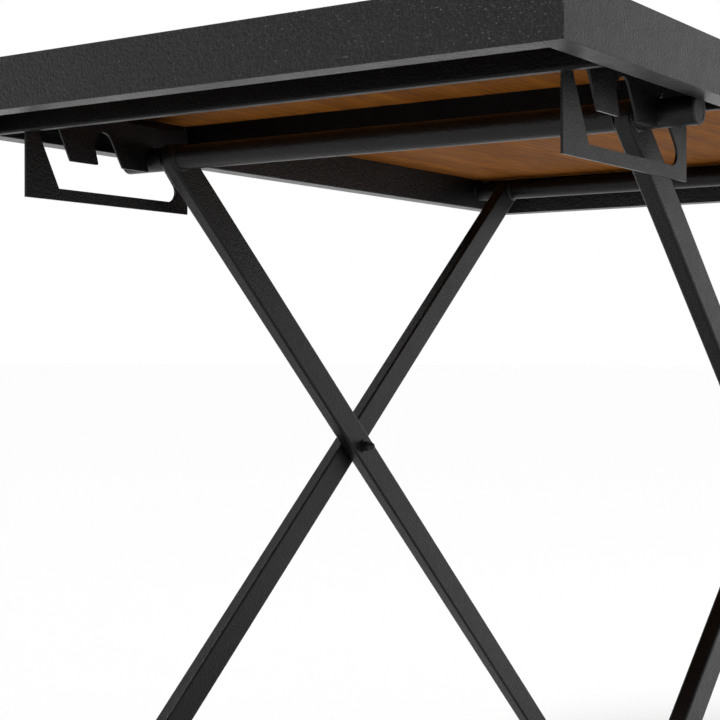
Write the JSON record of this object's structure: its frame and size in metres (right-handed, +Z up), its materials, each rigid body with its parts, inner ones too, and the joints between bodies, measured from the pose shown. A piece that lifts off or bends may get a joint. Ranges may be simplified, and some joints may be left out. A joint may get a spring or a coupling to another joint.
{
  "type": "folding table",
  "caption": "Height-adjustable table: wood board in a dark steel tube frame on crossed leg frames; a top tube rests in stepped notches of slotted guide plates.",
  "frame": {"origin": "on the floor, below the centre of the table top", "axes": "+Z up, +Y along the table's length towards the hinged end, +X across the table"},
  "size_m": [0.6, 1, 0.745],
  "materials": {
    "powder_coat": "black powder coat, satin, fine orange-peel texture",
    "wood_board": "orange-brown stained wood with fine dark grain, satin lacquer",
    "black_plastic": "moulded, fine matt texture",
    "nylon": "black nylon, matt",
    "black_fastener": "black oxide, satin",
    "fastener_steel": "zinc plated, slightly dull"
  },
  "bodies": {
    "tabletop": {"near_end_rail": "powder_coat", "right_side_rail": "powder_coat", "far_end_rail": "powder_coat", "left_side_rail": "powder_coat", "tabletop_board": "wood_board", "near_cross_rail": "powder_coat", "middle_cross_rail": "powder_coat", "far_cross_rail": "powder_coat", "left_guide_plate": "powder_coat", "right_guide_plate": "powder_coat", "guide_plate_rivets": "powder_coat", "board_screws": "fastener_steel", "left_hinge_stud": "fastener_steel", "right_hinge_stud": "fastener_steel"},
    "outer_legs": {"far_top_tube": "powder_coat", "outer_floor_tube": "powder_coat", "left_outer_leg": "powder_coat", "right_outer_leg": "powder_coat", "left_outer_foot": "black_plastic", "right_outer_foot": "black_plastic", "left_hinge_bush": "nylon", "right_hinge_bush": "nylon", "left_pivot_bolt": "black_fastener", "right_pivot_bolt": "black_fastener", "left_pivot_spacer": "nylon", "right_pivot_spacer": "nylon", "left_pivot_washer": "black_fastener", "right_pivot_washer": "black_fastener", "left_dome_nut": "black_fastener", "right_dome_nut": "black_fastener"},
    "inner_legs": {"near_top_tube": "powder_coat", "inner_floor_tube": "powder_coat", "left_inner_leg": "powder_coat", "right_inner_leg": "powder_coat", "left_inner_foot": "black_plastic", "right_inner_foot": "black_plastic", "left_top_plug": "black_plastic", "right_top_plug": "black_plastic", "left_pivot_bush": "nylon", "right_pivot_bush": "nylon"}
  },
  "joints": [
    {"name": "outer_leg_hinge", "type": "hinge", "parent": "tabletop", "child": "outer_legs", "pos_m": [0, 0.401, 0.7205], "axis": [1, 0, 0], "range_deg": [0, 2.8]},
    {"name": "leg_pivot", "type": "hinge", "parent": "outer_legs", "child": "inner_legs", "pos_m": [0, 0.05, 0.4188], "axis": [1, 0, 0], "range_deg": [-1.3, 0]}
  ],
  "couplings": [
    {"joint": "leg_pivot", "follows": "outer_leg_hinge", "ratio": -0.455}
  ]
}
